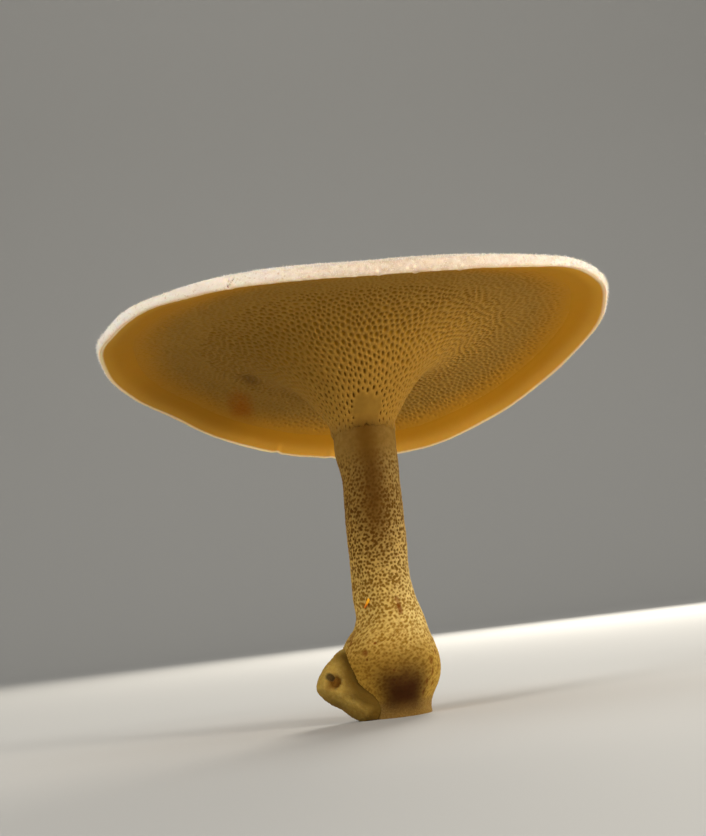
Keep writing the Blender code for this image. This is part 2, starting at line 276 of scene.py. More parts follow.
def flesh_profile():
    """Stations: hidden core, sterile margin, round the edge, and the top. Each is radius, height, swell and
    how far round the edge it is, 0 below to 1 on top."""
    hidden = np.array([(2.0, 2.35, 0.05, 0), (8.0, 2.55, 0.05, 0), (13.0, 2.35, 0.05, 0), (16.4, 1.95, 0.05, 0),
                       (17.3, 1.50, 0.05, 0)])
    out = np.linspace(17.5, LIP_RADIUS, 21)
    tuck = 0.10 * (1 - step(17.5, 18.1, out))
    margin = np.column_stack([out, curve_through(UNDERSIDE, out) + tuck, 0.05 + 0 * out, 0 * out])
    turn = np.linspace(0, math.pi, 16)[1:-1]
    half = EDGE_THICKNESS / 2
    edge = np.column_stack([LIP_RADIUS + EDGE_BULGE * np.sin(turn), half - half * np.cos(turn), 0 * turn,
                            turn / math.pi])
    back = LIP_RADIUS * (1 - np.linspace(0, 1, 36)[:-1] ** 1.35)
    top = np.column_stack([back, curve_through(TOP, back), 0.10 + 0 * back, 1 + 0 * back])
    return np.vstack([hidden, margin, edge, top])


def make_flesh(material):
    """The cap's flesh: turned profile, then pushed along its normals by grain, fibrils, low lumps and the
    nodules on the lip, and in by the crack, whose line leans to the right as it rises."""
    even = np.arange(1040) * 2 * math.pi / 1040
    azimuth = np.sort(np.concatenate([even, np.radians(246.5 + 1.2 * np.linspace(-1, 1, 40) + 0.003)]))
    radius, height, swell, upper = (column[:, None] for column in flesh_profile().T)
    grid = cap_point(radius + 0 * azimuth, height, azimuth, swell, upper)
    on_top = step(0.6, 1.0, upper)
    outer = step(17.5, 18.0, radius)
    polar = np.stack(np.broadcast_arrays(radius + 0 * azimuth, 20 * np.cos(azimuth), 20 * np.sin(azimuth)), axis=-1)
    fibrils = rough(polar, (1.6, 0.34, 0.34), 3)
    grain = rough(grid, 0.30, 5)
    lumps = rough(grid, 1.6, 8, octaves=2)
    crack_at = curve_through(CRACK_LINE, height)
    crack = np.exp(-(angle_between(azimuth, crack_at) / 0.17) ** 2) * (1 - step(0.62, 0.90, height))
    crack = crack * step(0.02, 0.16, height) * step(20.3, 20.5, radius)
    nodules = 0
    for place, level in LIP_NODULES:
        away = np.hypot(angle_between(azimuth, place) / 0.45, (height - level) / 0.16)
        nodules = nodules + np.exp(-away ** 2) * step(20.2, 20.4, radius) * (1 - on_top)
    rim = step(20.0, 20.5, radius) * (1 - 0.5 * on_top)
    push = outer * (0.02 + 0.025 * on_top) * lumps + outer * (0.008 + 0.014 * rim + 0.008 * on_top) * grain
    push = push + on_top * 0.03 * fibrils + 0.08 * nodules - 0.12 * crack
    push = np.where((upper == 0) & (radius < 17.5), 0, push)
    grid = grid + ring_normals(grid) * push[..., None]
    masks = {
        "share": np.broadcast_to(radius / CAP_RADIUS, push.shape),
        "upper": np.broadcast_to(upper, push.shape),
        "fibrils": fibrils,
        "grain": grain,
        "crack": crack,
        "nodules": nodules,
        "front": np.exp(-(angle_between(azimuth, 283) / 34) ** 2) + 0 * push,
        # Painted light: 'side' makes the underside brighter on the right and in front, and 'far' marks the margin
        # behind, where a glow of light shining through it is painted.
        "side": (grid[..., 0] - 0.35 * grid[..., 1]) / CAP_RADIUS,
        "far": step(-0.30, 0.45, grid[..., 1] / CAP_RADIUS),
    }
    return ring_piece("cap_flesh", grid, masks, material, "cap")


def make_rim_hairs(material):
    """The cap's velvet: tapering three-sided hairs that stand on the edge and on the outer top.

    A hair's root lies on the cap at a place along the profile and an azimuth. Its tip is a length out along
    the normal, which is the cross product of the steps to two near points, bent at random to both sides."""
    count = 11000
    profile = flesh_profile()
    profile = profile[(profile[:, 0] > 18.0) & (profile[:, 1] > 0.12) & (profile[:, 3] > 0)]
    station = dice.random(count) ** 1.3 * (len(profile) - 1.01)
    azimuth = dice.random(count) * 2 * math.pi

    def root(station, azimuth):
        radius, height, swell, upper = (np.interp(station, np.arange(len(profile)), c) for c in profile.T)
        return cap_point(radius, height, azimuth, swell, upper)

    here = root(station, azimuth)
    onward, around = root(station + 0.01, azimuth) - here, root(station, azimuth + 0.001) - here
    normal = np.cross(around, onward)
    normal /= np.linalg.norm(normal, axis=1, keepdims=True)
    length = 0.10 + 0.14 * dice.random(count) ** 2
    long_ones = (np.abs(angle_between(azimuth, 203)) < 3) & (dice.random(count) < 0.12)
    length = np.where(long_ones, 0.45, length)
    lean = normal + 0.45 * dice.normal(size=(count, 3))
    lean /= np.linalg.norm(lean, axis=1, keepdims=True)
    side = np.cross(lean, around)
    side /= np.linalg.norm(side, axis=1, keepdims=True)
    other = np.cross(lean, side)
    base = here - 0.02 * normal
    turn = np.arange(3) * 2 * math.pi / 3
    foot = base[:, None] + 0.017 * (np.cos(turn)[:, None] * side[:, None] + np.sin(turn)[:, None] * other[:, None])
    tip = here + length[:, None] * lean
    points = np.concatenate([foot, tip[:, None]], axis=1).reshape(-1, 3)
    first = 4 * np.arange(count)[:, None]
    faces = [first + corners for corners in ((0, 1, 3), (1, 2, 3), (2, 0, 3), (0, 2, 1))]
    return mesh_piece("rim_hairs", points, faces, {}, material)


# Pores
def pore_meridian():
    """The line that the pore layer is turned from, from the stem's top out to the margin, in columns: its
    radius in the flat plan of the pores, its radius, height and two parts of its inward direction.

    The plan keeps small shapes but for their length: dq / q = ds / (a r), with q the radius in plan, r the
    radius, s the length along the line, and a > 1 for pores that are longer down the slope than across."""
    foot_height = np.linspace(PORE_FOOT[0][0], PORE_FOOT[-1][0], 80)[:-1]
    trumpet = np.linspace(NECK_RADIUS, PORE_FIELD_EDGE + 1, 1500)
    radius = np.concatenate([curve_through(PORE_FOOT, foot_height), trumpet])
    height = np.concatenate([foot_height, curve_through(UNDERSIDE, trumpet)])
    length = np.hypot(np.diff(radius), np.diff(height))
    growth = np.append(0, np.cumsum(length / (curve_through(PORE_STRETCH, radius[1:]) * radius[1:])))
    plan = radius[-1] * np.exp(growth - growth[-1])
    across, up = np.gradient(radius), np.gradient(height)
    size = np.hypot(across, up)
    inward, upward = -up / size, across / size + 0.6
    size = np.hypot(inward, upward)
    return np.column_stack([plan, radius, height, inward / size, upward / size])


def pore_sites(line):
    """Pore centres in plan: site k lies at k times the golden angle and where k sites fit inside it, and then
    moves by up to a third of the spacing, or half of it far out."""
    plan, radius = line[:, 0], line[:, 1]
    spacing = curve_through(PORE_SPACING, radius) * plan / radius
    each = 2 * math.pi * plan / (0.866 * spacing ** 2)
    inside = np.append(0, np.cumsum((each[1:] + each[:-1]) / 2 * np.diff(plan)))
    count = int(inside[-1])
    k = np.arange(count) + 0.5
    far, turn = np.interp(k, inside, plan), k * math.radians(137.50776)
    loose = 0.60 + 0.35 * step(6.0, 11.0, np.interp(far, plan, radius))
    shift = (dice.random((count, 2)) - 0.5) * (loose * np.interp(far, plan, spacing))[:, None]
    return np.column_stack([far * np.cos(turn), far * np.sin(turn)]) + shift


def neighbours(sites):
    """Delaunay triangles (n, 3) of the sites, counter-clockwise."""
    result = delaunay_2d_cdt([Vector(site) for site in sites.tolist()], [], [], 0, 1e-9)
    triangles = np.array(result[2])
    a, b, c = (sites[triangles[:, k]] for k in range(3))
    area = (b[:, 0] - a[:, 0]) * (c[:, 1] - a[:, 1]) - (b[:, 1] - a[:, 1]) * (c[:, 0] - a[:, 0])
    triangles[area < 0] = triangles[area < 0][:, ::-1]
    return triangles


def relax(sites, triangles, low, high):
    """Moves each site between two radii part of the way to the mean of its neighbours."""
    start = triangles.ravel()
    end = np.roll(triangles, -1, axis=1).ravel()
    total = np.zeros_like(sites)
    count = np.zeros(len(sites))
    for here, there in ((start, end), (end, start)):
        np.add.at(total, here, sites[there])
        np.add.at(count, here, 1)
    moved = sites + 0.50 * (total / np.maximum(count, 1)[:, None] - sites)
    far = np.linalg.norm(sites, axis=1, keepdims=True)
    return np.where((far > low) & (far < high), moved, sites)


def pore_openness(radius, height, azimuth):
    """How deep each pore is, 0 to 1: none below the neck, on the smooth patch and in the margin."""
    chance = dice.random(len(radius))
    place, half_width, reach = SMOOTH_PATCH
    wide = np.abs(angle_between(azimuth, place)) / half_width
    patch = (wide < 1) & (radius < reach - 0.30 * wide ** 2)
    beside = (wide < 1.4) & (radius < reach + 0.2) & ~patch
    lowest = -6.10 - 0.7 * chance
    fade = 1 - step(PORES_TO - 1.7, PORES_TO + 0.1, radius + 0.7 * (chance - 0.5))
    uneven = 0.72 + 0.28 * dice.random(len(radius)) + 0.25 * beside
    return np.where(patch | (height < lowest), 0.0, fade * uneven), patch


def stain(plan, mark, seed):
    """A blot with a broken edge about a mark, 1 in its middle."""
    far, azimuth, half_x, half_y = mark
    x, y = far * math.cos(math.radians(azimuth)), far * math.sin(math.radians(azimuth))
    away = np.hypot((plan[:, 0] - x) / half_x, (plan[:, 1] - y) / half_y)
    ragged = rough(np.column_stack([plan, 0 * plan[:, 0]]), 0.9, seed)
    return 1 - step(0.10, 1.30, away + 0.30 * ragged)


def make_pores(material):
    """The pore layer: one cell per site, with a ridge round it and a pit that narrows to its floor.

    A cell's corners are the centres of the triangles round its site. Each side of the cell gives a ridge
    face from two corners to the mouth, a wall face down to a lower ring, and a floor face. Small pores
    far from the stem have no lower ring, and their walls run to the middle of the floor."""
    line = pore_meridian()
    inner, outer = line[0, 0], float(np.interp(PORE_FIELD_EDGE, line[:, 1], line[:, 0]))
    sites = pore_sites(line)
    for _ in range(3):
        sites = relax(sites, neighbours(sites), inner * 1.15, outer)
    triangles = neighbours(sites)
    site_count, triangle_count = len(sites), len(triangles)
    corner = sites[triangles].mean(axis=1)

    def azimuth_of(plan):
        return np.arctan2(plan[:, 1], plan[:, 0])

    def along(plan, column):
        return np.interp(np.linalg.norm(plan, axis=1), line[:, 0], line[:, column])

    def surface(plan, depth):
        radius, height, azimuth = along(plan, 1), along(plan, 2), azimuth_of(plan)
        depth = depth + 0.10 * step(17.7, 18.3, radius)
        cheek = 0.15 * np.exp(-(angle_between(azimuth, 185) / 50) ** 2 - ((height + 5.9) / 0.75) ** 2)
        cheek = cheek * step(-7.0, -6.2, height)
        return cap_point(radius + cheek + depth * along(plan, 3), height + depth * along(plan, 4), azimuth, 0.05)

    def from_site(site, place, share):
        """A share of the way from sites to places round them, narrower across than along the meridian."""
        outward = sites[site] / np.linalg.norm(sites[site], axis=1, keepdims=True)
        offset = place - sites[site]
        along_line = (offset * outward).sum(axis=1, keepdims=True) * outward
        narrow = curve_through(PORE_NARROWING, radius)[site, None]
        return sites[site] + share[:, None] * (along_line + narrow * (offset - along_line))

    start = triangles.ravel()
    end = np.roll(triangles, -1, axis=1).ravel()
    left = np.repeat(np.arange(triangle_count), 3)
    key = start * site_count + end
    order = np.argsort(key)
    twin_at = np.minimum(np.searchsorted(key[order], end * site_count + start), len(key) - 1)
    paired = key[order][twin_at] == end * site_count + start
    right = left[order][twin_at]

    far = np.linalg.norm(sites, axis=1)
    built = (far > inner * 1.2) & (far < outer)
    side = paired & built[start]
    start, end, left, right = start[side], end[side], left[side], right[side]
    radius = along(sites, 1)
    open_share, patch = pore_openness(radius, along(sites, 2), azimuth_of(sites))
    deep = curve_through(PORE_DEPTH, radius) * open_share

    used, mouth_of = np.unique(np.concatenate([start * triangle_count + left, start * triangle_count + right]),
                               return_inverse=True)
    mouth_left, mouth_right = np.split(mouth_of, 2)
    mouth_site, mouth_corner = used // triangle_count, used % triangle_count

    flat = np.column_stack([corner, 0 * corner[:, 0]])
    ridge = 0.014 * noise(flat, 0.35, 4) + 0.022 * rough(flat, 1.1, 9)
    middle = (corner[left] + corner[right]) / 2
    wide = curve_through(PORE_MOUTH, radius) * (1 + 0.22 * (dice.random(site_count) - 0.5)) * (0.6 + 0.4 * open_share)
    mouth = from_site(mouth_site, corner[mouth_corner], wide[mouth_site])
    side_mouth = from_site(start, middle, 1.15 * wide[start])
    low = sites[mouth_site] + (mouth - sites[mouth_site]) * 0.80

    lip = 0.025
    # Each block: places in plan, depth, and how far down a pit they lie; the last darkens the colour, partly as painted
    # shade.
    blocks = [
        (corner, ridge, 0 * ridge),
        (mouth, lip * open_share[mouth_site], 0.16 * open_share[mouth_site]),
        (side_mouth, lip * open_share[start], 0.16 * open_share[start]),
        (low, 0.72 * deep[mouth_site], 0.85 * open_share[mouth_site]),
        (sites, deep, open_share),
    ]
    plan = np.vstack([place for place, _, _ in blocks])
    points = np.vstack([surface(place, depth) for place, depth, _ in blocks])
    pit = np.concatenate([shade for _, _, shade in blocks])
    mouths, sides, lows, floors = np.cumsum([len(place) for place, _, _ in blocks])[:4]

    side_at = sides + np.arange(len(start))
    fine = radius[start] < FINE_PORES_TO
    ridge_faces = np.column_stack([right, left, mouths + mouth_left, side_at, mouths + mouth_right])
    walls = np.column_stack([mouths + mouth_right, side_at, mouths + mouth_left,
                             lows + mouth_left, lows + mouth_right])[fine]
    pit_floors = np.column_stack([lows + mouth_right, lows + mouth_left, floors + start])[fine]
    cones = [np.column_stack([mouths + mouth_right, side_at, floors + start])[~fine],
             np.column_stack([side_at, mouths + mouth_left, floors + start])[~fine]]

    edge = ~built[end]
    rim_from, rim_to = right[edge], left[edge]
    outside = np.linalg.norm(corner[rim_from], axis=1) > outer / 2
    first_extra = len(points)
    azimuth = azimuth_of(corner)
    shoulder = cap_point(np.full(triangle_count, PORE_FIELD_EDGE - 0.45), 1.25, azimuth)
    crown = cap_point(np.full(triangle_count, 12.0), 2.70, azimuth)
    ends = np.vstack([cap_place(0.0, 0.0, 2.70), cap_place(0.0, 0.0, PORE_FOOT[0][0] + 0.1)])
    points = np.vstack([points, shoulder, crown, ends])
    extra = len(points) - first_extra
    crown_at, apex = first_extra + triangle_count, first_extra + 2 * triangle_count
    rim_a, rim_b = rim_from[outside], rim_to[outside]
    collar = np.column_stack([rim_b, rim_a, first_extra + rim_a, first_extra + rim_b])
    dome = np.column_stack([first_extra + rim_b, first_extra + rim_a, crown_at + rim_a, crown_at + rim_b])
    dome_fan = np.column_stack([crown_at + rim_b, crown_at + rim_a, np.full(len(rim_a), apex)])
    neck_a, neck_b = rim_from[~outside], rim_to[~outside]
    neck_fan = np.column_stack([neck_b, neck_a, np.full(len(neck_a), apex + 1)])

    faces = [ridge_faces, walls, pit_floors, *cones, collar, dome, dome_fan, neck_fan]
    kept = np.unique(np.concatenate([f.ravel() for f in faces]))
    renumber = np.zeros(len(points), dtype=np.int64)
    renumber[kept] = np.arange(len(kept))
    flat_plan = along(plan, 1)[:, None] * np.column_stack([np.cos(azimuth_of(plan)), np.sin(azimuth_of(plan))])
    shares = along(plan, 1) / CAP_RADIUS
    values = {
        "pit": pit,
        "share": shares,
        "neck": step(-5.3, -6.9, along(plan, 2)),
        "patch": np.concatenate([patch[triangles].mean(axis=1), patch[mouth_site], patch[start],
                                 patch[mouth_site], patch]),
        "smudge": stain(flat_plan, SMUDGE, 61),
        "orange_spot": stain(flat_plan, ORANGE_SPOT, 65),
        # Painted light: 'side' makes the pores brighter on the right and in front.
        "side": flat_plan @ (1, -0.35) / CAP_RADIUS,
        # Painted shade: where the dark band down the front of the neck goes.
        "painted_front_shade": np.exp(-(angle_between(azimuth_of(plan), 272) / 30) ** 2),
    }
    masks = {name: np.append(value, np.zeros(extra))[kept] for name, value in values.items()}
    return mesh_piece("pore_layer", points[kept], [renumber[f] for f in faces], masks, material, "cap")


# Stem
def stem_frames(levels):
    """Axis points and unit vectors to the back, at levels 0 to 1: level below, tipped like the cap at the top."""
    end = cap_place(0.0, 0.0, UNDERSIDE[0][1] - 0.3)
    height = levels * end[2]
    knots = STEM_AXIS + [(end[2], end[0], end[1])]
    axis = np.column_stack([curve_through([(k[0], k[i]) for k in knots], height) for i in (1, 2)] + [height])
    tip = CAP_TILT * step(STEM_TIPS_FROM, end[2], height)
    return axis, np.stack([0 * tip, np.cos(tip), -np.sin(tip)], axis=-1)


def dimple_away(turn, height, around, tall, seed):
    """Distance, in cells, to the nearest dimple of the unrolled stem: one jittered point per cell, in rows
    that are shifted by half a cell in turn, with a whole number of cells round the stem."""
    across, up = turn / (2 * math.pi) * around + 0 * height, height / tall + 0 * turn
    row = np.floor(up).astype(np.int64)
    nearest = np.full(across.shape, 9.0)
    for j in (row - 1, row, row + 1):
        slid = across - 0.5 * (j % 2)
        column = np.floor(slid).astype(np.int64)
        for i in (column - 1, column, column + 1):
            aside = i + 0.16 + 0.68 * scatter(i % around, j, 0, seed) - slid
            above = j + 0.16 + 0.68 * scatter(i % around, j, 1, seed) - up
            nearest = np.minimum(nearest, np.hypot(aside, above))
    return nearest


def scurf(points, turn, height):
    """Relief of the stem's skin, 0 in the hollows to 1 on the scales.

    Dark dimples lie in a net of short pale strokes that lean to both sides; near the cap they fade out into
    faint upright fibrils. The foot is thicker, so it has more dimples round it. Strokes and fibrils are noise
    stretched along a slant, read on the points after a twist about the axis."""
    reach = np.linalg.norm(points[..., :2] - points[..., :2].mean(axis=1, keepdims=True), axis=-1)

    def slanted(lean, stretch, size, seed):
        angle = turn + lean * height / 2.5
        place = np.stack([reach * np.cos(angle), reach * np.sin(angle), height / stretch + 0 * angle], axis=-1)
        return noise(place, size, seed)

    wander = 0.16 * noise(points, 0.30, 27)
    size = 0.05 * noise(points, 0.8, 28)
    shaft = 1 - step(0.14, 0.52, dimple_away(turn, height, 52, 0.30, 21) + wander + size)
    foot = 1 - step(0.14, 0.52, dimple_away(turn, height, 76, 0.31, 23) + wander + size)
    low = 1 - step(6.2, 7.4, height)
    dimples = (1 - low) * shaft + low * foot
    dimples = dimples * (1 - 0.40 * step(9.5, 3.5, height))
    calm = step(17.0, 21.5, height)
    bare = step(20.4, 22.2, height)
    strokes = np.maximum(slanted(-0.9, 1.6, 0.13, 31), slanted(0.9, 1.6, 0.13, 35))
    scales = 0.52 + 0.40 * strokes - 0.54 * dimples
    soft = 0.55 + 0.45 * (scales - 0.55)
    faint = 0.60 + 0.20 * slanted(0.05, 8.0, 0.15, 39) - 0.16 * shaft
    scales = (1 - calm) * scales + calm * soft
    return np.clip((1 - bare) * scales + bare * faint, 0, 1)


def make_stem(material):
    """The stem's skin: rings square to the axis, raised by scales and sunk under the pore layer at the top."""
    rows, columns = 400, 246
    levels = np.linspace(0, 1, rows) ** 1.05
    axis, front = stem_frames(levels)
    turn = np.arange(columns) * 2 * math.pi / columns
    high = axis[:, 2:3]
    top = axis[-1, 2]
    fade = np.minimum(1, 0.25 * high) * np.minimum(1, 0.6 * np.maximum(0, top - high))
    lump = STEM_LUMP * fade * (np.sin(2 * turn + 0.35 * high) + 0.7 * np.sin(3 * turn - 0.8 * high + 1)
                               + 0.5 * np.sin(5 * turn + 1.1 * high))
    deep = 1 + (FOOT_DEPTH_STRETCH - 1) * np.exp(-(high / 3.5) ** 2)
    radius = curve_through(STEM_RADIUS, levels * STEM_RADIUS[-1][0])[:, None]
    cap_level = (axis - CAP_CENTRE) @ (0, math.sin(CAP_TILT), math.cos(CAP_TILT))
    radius = radius - (0.03 * step(-7.5, -6.8, cap_level) + 0.27 * step(-6.7, -6.0, cap_level))[:, None]
    reach = radius * (1 + lump)
    grid = (axis[:, None] + (reach * np.cos(turn))[..., None] * np.array((1.0, 0.0, 0.0))
            + (reach * deep * np.sin(turn))[..., None] * front[:, None])
    relief = scurf(grid, turn, high)
    strength = 0.045 + 0.035 * step(6, 12, high) - 0.06 * step(19.5, 22, high)
    grain = rough(grid, 0.16, 41)
    lumps = rough(grid, 1.1, 44, octaves=2)
    rise = grid[..., 2]
    free = step(0.0, 0.6, high) * (1 - step(21.6, 22.4, high))
    push = free * (strength * (relief - 0.6) + 0.008 * grain + 0.035 * lumps)
    marks = 0
    for level, place, half_height, half_width, amount in STEM_MARKS:
        sideways_off = np.radians(angle_between(turn, place)) * radius
        away = np.hypot((rise - level) / half_height, sideways_off / half_width)
        marks = np.maximum(marks, amount * (1 - step(0.45, 1.25, away + 0.35 * lumps)))
    push = push - 0.04 * np.minimum(marks, 1)
    grid = grid + ring_normals(grid) * push[..., None]
    grid[..., 2] = np.maximum(grid[..., 2], 0)
    from_front = angle_between(turn, 281)
    masks = {
        "relief": relief,
        "grain": grain,
        "lumps": lumps,
        "marks": marks + 0 * relief,
        "height": rise,
        "neck": step(19.8, 22.0, rise),
        "shade": np.exp(-(from_front / 36) ** 4) * step(6.3, 2.4, rise + 0.3 * lumps) * step(-0.8, 1.6, rise),
        # Painted shade: where the dark band down the front of the upper stem goes.
        "painted_front_shade": np.exp(-(angle_between(turn, 272) / 30) ** 2) * step(10, 17, rise),
        # Painted light: 1 on the right side of the stem, where its colour is painted lighter.
        "right": np.maximum(0, np.cos(turn - math.radians(340))) ** 2 + 0 * rise,
    }
    return ring_piece("stem_skin", grid, masks, material, "stem")


def make_fleck(material):
    """The orange fleck stuck to the stem: a lens on a long oval, bent with the stem, with a turned-up end."""
    rows, columns = 14, 40
    share = np.linspace(0, 1, rows)[:, None]
    turn = np.arange(columns) * 2 * math.pi / columns
    along, across = 0.40 * share * np.sin(turn), 0.31 * share * np.cos(turn) * (1 - 0.30 * share * np.sin(turn))
    lean = math.radians(-34)
    up = 9.17 + along * math.cos(lean) - across * math.sin(lean)
    wide = along * math.sin(-lean) + across * math.cos(lean)
    middle = stem_skin_point(up, math.radians(235) + wide / 2.5)
    out = np.array((math.cos(math.radians(235)), math.sin(math.radians(235)), 0.0))
    thick = 0.045 * np.sqrt(np.maximum(1 - share ** 2, 0)) + 0 * turn
    lift = 0.05 + 0.10 * np.maximum(along / 0.36, 0) ** 2
    face = middle + (lift + thick)[..., None] * out
    back = middle + (lift - thick - 0.02)[..., None] * out
    grid = np.concatenate([face[1:], back[::-1][1:-1]])
    return ring_piece("orange_fleck", grid, {"along": np.broadcast_to(grid[..., 2], grid.shape[:2])}, material)


def stem_skin_point(height, turn):
    """Point of the smooth stem at a height and an azimuth."""
    middle = np.stack([curve_through([(k[0], k[1]) for k in STEM_AXIS], height),
                       curve_through([(k[0], k[2]) for k in STEM_AXIS], height), height], axis=-1)
    radius = curve_through(STEM_RADIUS, height)
    deep = 1 + (FOOT_DEPTH_STRETCH - 1) * np.exp(-(height / 3.5) ** 2)
    return middle + np.stack([radius * np.cos(turn), radius * deep * np.sin(turn), 0 * turn], axis=-1)


# Mycelium pad
def bump_towards(direction, aim, sharpness):
    """1 along the aim, falling off with the angle from it."""
    aim = np.array(aim) / np.linalg.norm(aim)
    return np.exp(sharpness * (direction @ aim - 1))


def make_pad(material):
    """The pad: distances from its centre along all directions, with the pit pressed in and a felted skin."""
    rows, columns = 190, 320
    tilt = (np.linspace(0, 1, rows + 2)[1:-1] * math.pi)[:, None]
    turn = np.arange(columns) * 2 * math.pi / columns
    direction = np.stack([np.sin(tilt) * np.cos(turn), np.sin(tilt) * np.sin(turn),
                          np.cos(tilt) + 0 * turn], axis=-1)
    reach = 1 / np.linalg.norm(direction / PAD_RADII, axis=-1)
    for aim, height, sharpness in PAD_LUMPS:
        reach = reach + height * bump_towards(direction, aim, sharpness)
    wobble = rough(direction, 0.16, 57)
    pit = step(0.25, 0.75, bump_towards(direction, PIT_DIRECTION, 26.0) + 0.10 * wobble)
    # The spot is a shallow dent, whose black in the finish is painted shade of a hole.
    spot = step(0.35, 0.70, bump_towards(direction, PIT_SPOT_DIRECTION, 95.0) + 0.10 * wobble)
    reach = reach - 0.34 * pit - 0.10 * spot + 0.06 * bump_towards(direction, PIT_DIRECTION, 9.0)
    reach = reach + 0.30 * bump_towards(direction, (0.9, -0.35, 0.1), 3.5)
    grid = PAD_CENTRE + direction * reach[..., None]
    felt = rough(grid, 0.20, 51)
    lumps = rough(grid, 0.9, 54, octaves=2)
    knobs = rough(grid, 1.7, 58, octaves=1)
    tufts = pebbles(grid, 0.34, 53)[0]
    grid = grid + direction * ((0.020 + 0.012 * pit) * felt + 0.07 * lumps + 0.10 * knobs - 0.05 * tufts)[..., None]
    grid[..., 2] = np.maximum(grid[..., 2], 0)
    border = grid[..., 0] - curve_through([(0.0, -2.6), (1.1, -1.9), (1.7, -2.8), (2.7, -3.17), (3.65, -3.37),
                                           (5.3, -3.75), (7.0, -3.9)], grid[..., 2])
    skin = step(-1.5, 0.1, border + 0.25 * lumps) * step(1.2, 2.2, -grid[..., 1])
    # Besides the bulb's brown skin at the border, the pad is darker towards the bottom and the left.
    skin = np.maximum(skin, 0.75 * (1 - step(0.6, 2.4, grid[..., 2] + 0.5 * (grid[..., 0] + 3.6))))
    masks = {"pit": pit, "spot": spot, "felt": felt, "lumps": lumps, "skin": skin, "tufts": tufts}
    return ring_piece("pad_felt", grid, masks, material, "mycelium_pad")


# Shaders
class Wire:
    """A shader value. Arithmetic on it adds Math nodes."""

    def __init__(self, paint, socket):
        self.paint, self.socket = paint, socket

    def math(self, operation, *inputs):
        return self.paint.node("ShaderNodeMath", {"operation": operation}, dict(enumerate(inputs)))

    def __add__(self, other):
        return self.math("ADD", self, other)

    def __sub__(self, other):
        return self.math("SUBTRACT", self, other)

    def __rsub__(self, other):
        return self.math("SUBTRACT", other, self)

    def __mul__(self, other):
        return self.math("MULTIPLY", self, other)

    def __truediv__(self, other):
        return self.math("DIVIDE", self, other)

    def __pow__(self, other):
        return self.math("POWER", self, other)

    __radd__, __rmul__ = __add__, __mul__

    def step(self, low, high):
        """0 below low, 1 above high, smooth between."""
        return self.paint.node("ShaderNodeMapRange", {"interpolation_type": "SMOOTHSTEP"},
                               {"Value": self, "From Min": low, "From Max": high})


class Paint:
    """A material and short ways to add nodes to it."""

    def __init__(self, name):
        self.material = bpy.data.materials.new(name)
        self.material.use_nodes = True
        self.tree = self.material.node_tree
        self.shader = self.tree.nodes["Principled BSDF"]
        self.place = self.node("ShaderNodeTexCoord", {}, {}, "Object")

    def node(self, kind, settings, inputs, output=0):
        """Adds a node: its settings first, then the values or links of its sockets."""
        added = self.tree.nodes.new(kind)
        for name, value in settings.items():
            setattr(added, name, value)
        for name, value in inputs.items():
            self.link(value, added.inputs[name])
        return Wire(self, added.outputs[output])

    def link(self, value, socket):
        if isinstance(value, Wire):
            self.tree.links.new(value.socket, socket)
        else:
            socket.default_value = value

    def mask(self, name):
        """A number that the mesh carries."""
        return self.node("ShaderNodeAttribute", {"attribute_name": name}, {}, "Fac")

    def noise(self, size, detail=3.0, rough=0.55):
        """Noise from 0 to 1, in blotches of about that size in mm."""
        return self.node("ShaderNodeTexNoise", {}, {"Vector": self.place, "Scale": 1 / (size * MM),
                                                    "Detail": detail, "Roughness": rough})

    def mix(self, share, first, second):
        """From the first colour to the second as the share goes from 0 to 1."""
        colours = [c if isinstance(c, Wire) else (*c, 1.0) for c in (first, second)]
        return self.node("ShaderNodeMix", {"data_type": "RGBA"}, {0: share, 6: colours[0], 7: colours[1]}, 2)

    def bump(self, height, depth):
        """Normals from a height, for relief of that depth in mm."""
        return self.node("ShaderNodeBump", {}, {"Height": height, "Distance": depth * MM, "Strength": 1.0})

    def finish(self, colour, roughness, normal=None, **constants):
        """Feeds the shader: what varies by link, and the constants on its own sockets."""
        self.link(colour, self.shader.inputs["Base Color"])
        self.link(roughness, self.shader.inputs["Roughness"])
        if normal:
            self.link(normal, self.shader.inputs["Normal"])
        for name, value in constants.items():
            self.shader.inputs[name.replace("_", " ")].default_value = value
        return self.material


SOFT = {"Subsurface_Radius": (1.0, 0.42, 0.12), "Specular_IOR_Level": 0.08}


def underside_colour(paint, share, mottle):
    """Tan on the trumpet, browner in the hollow round it, and an orange margin, over the radius's share.

    All of it is brighter on the right and in front than on the left and behind: this is painted light, as from a lamp
    at the front right."""
    hollow = paint.mix((share + 0.04 * mottle).step(0.20, 0.60), (0.265, 0.133, 0.016), (0.345, 0.182, 0.029))
    colour = paint.mix((share + 0.03 * mottle).step(0.72, 0.90), hollow, (0.50, 0.215, 0.008))
    colour = paint.mix((share + 0.01 * mottle).step(0.93, 0.985), colour, (0.60, 0.285, 0.020))
    # Painted light: the colour is scaled up on the right and in front by the 'side' mask.
    return paint.node("ShaderNodeVectorMath", {"operation": "SCALE"}, {0: colour, "Scale": 1 + 0.22 * paint.mask("side")})


def neck_colour(paint):
    """Dull tan, a little streaky, where the pores run out down the stem, and painted shade in dark brown down the
    front.
    """
    tan = paint.mix(paint.noise(0.45).step(0.35, 0.70), (0.165, 0.086, 0.013), (0.210, 0.116, 0.024))
    # Painted shade: dark brown down the front of the neck.
    return paint.mix(paint.mask("painted_front_shade") * 0.9, tan, (0.080, 0.032, 0.001))


